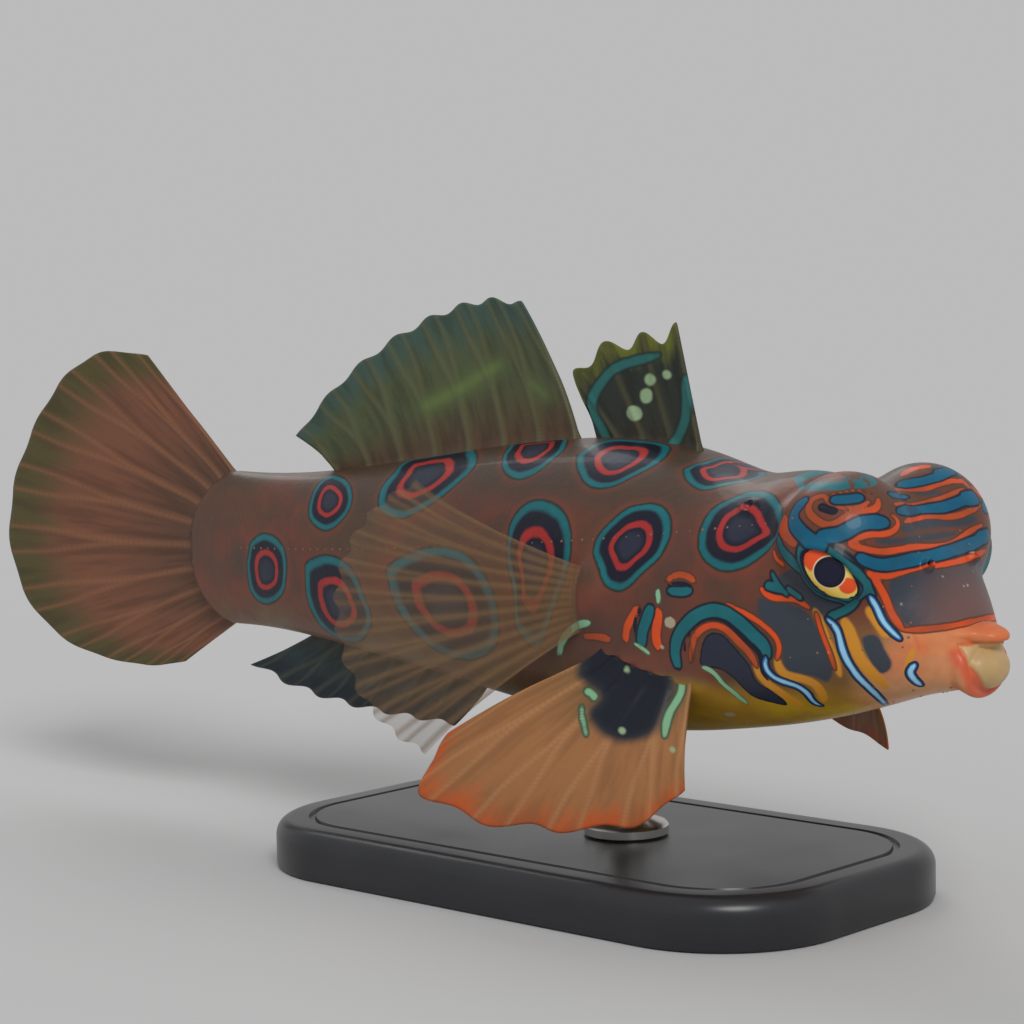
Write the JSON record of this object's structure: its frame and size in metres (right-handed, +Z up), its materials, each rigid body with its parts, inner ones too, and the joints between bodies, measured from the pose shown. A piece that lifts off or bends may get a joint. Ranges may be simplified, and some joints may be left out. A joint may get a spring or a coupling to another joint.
{
  "type": "mandarinfish model",
  "caption": "Life-size still model of a swimming spotted mandarinfish, with spread fins and domed eyes, held over a flat base by one short rod.",
  "frame": {"origin": "centre of the stand's flat underside", "axes": "+X from the tail to the mouth, +Y to the fish's left, +Z up"},
  "size_m": [0.0657, 0.0193, 0.0275],
  "materials": {
    "skin": "painted satin skin with ringed spots",
    "fin_web": "painted translucent fin web, olive and teal",
    "clear_fin": "nearly clear fin web with tan rays",
    "orange_fin": "painted fin web, orange to tan",
    "eye_glass": "polished, clear-coated eye with painted iris",
    "stand_plate": "satin black cast plate",
    "stand_metal": "turned and brushed"
  },
  "bodies": {
    "root": {"head": "skin", "trunk": "skin", "tail": "skin", "eye_left": "eye_glass", "eye_right": "eye_glass", "first_dorsal_fin": "fin_web", "second_dorsal_fin": "fin_web", "anal_fin": "fin_web", "pectoral_fin_left": "clear_fin", "pectoral_fin_right": "clear_fin", "caudal_fin": "orange_fin", "pelvic_fin_left": "orange_fin", "pelvic_fin_right": "orange_fin", "stand_base": "stand_plate", "stand_rod": "stand_metal"}
  },
  "joints": []
}
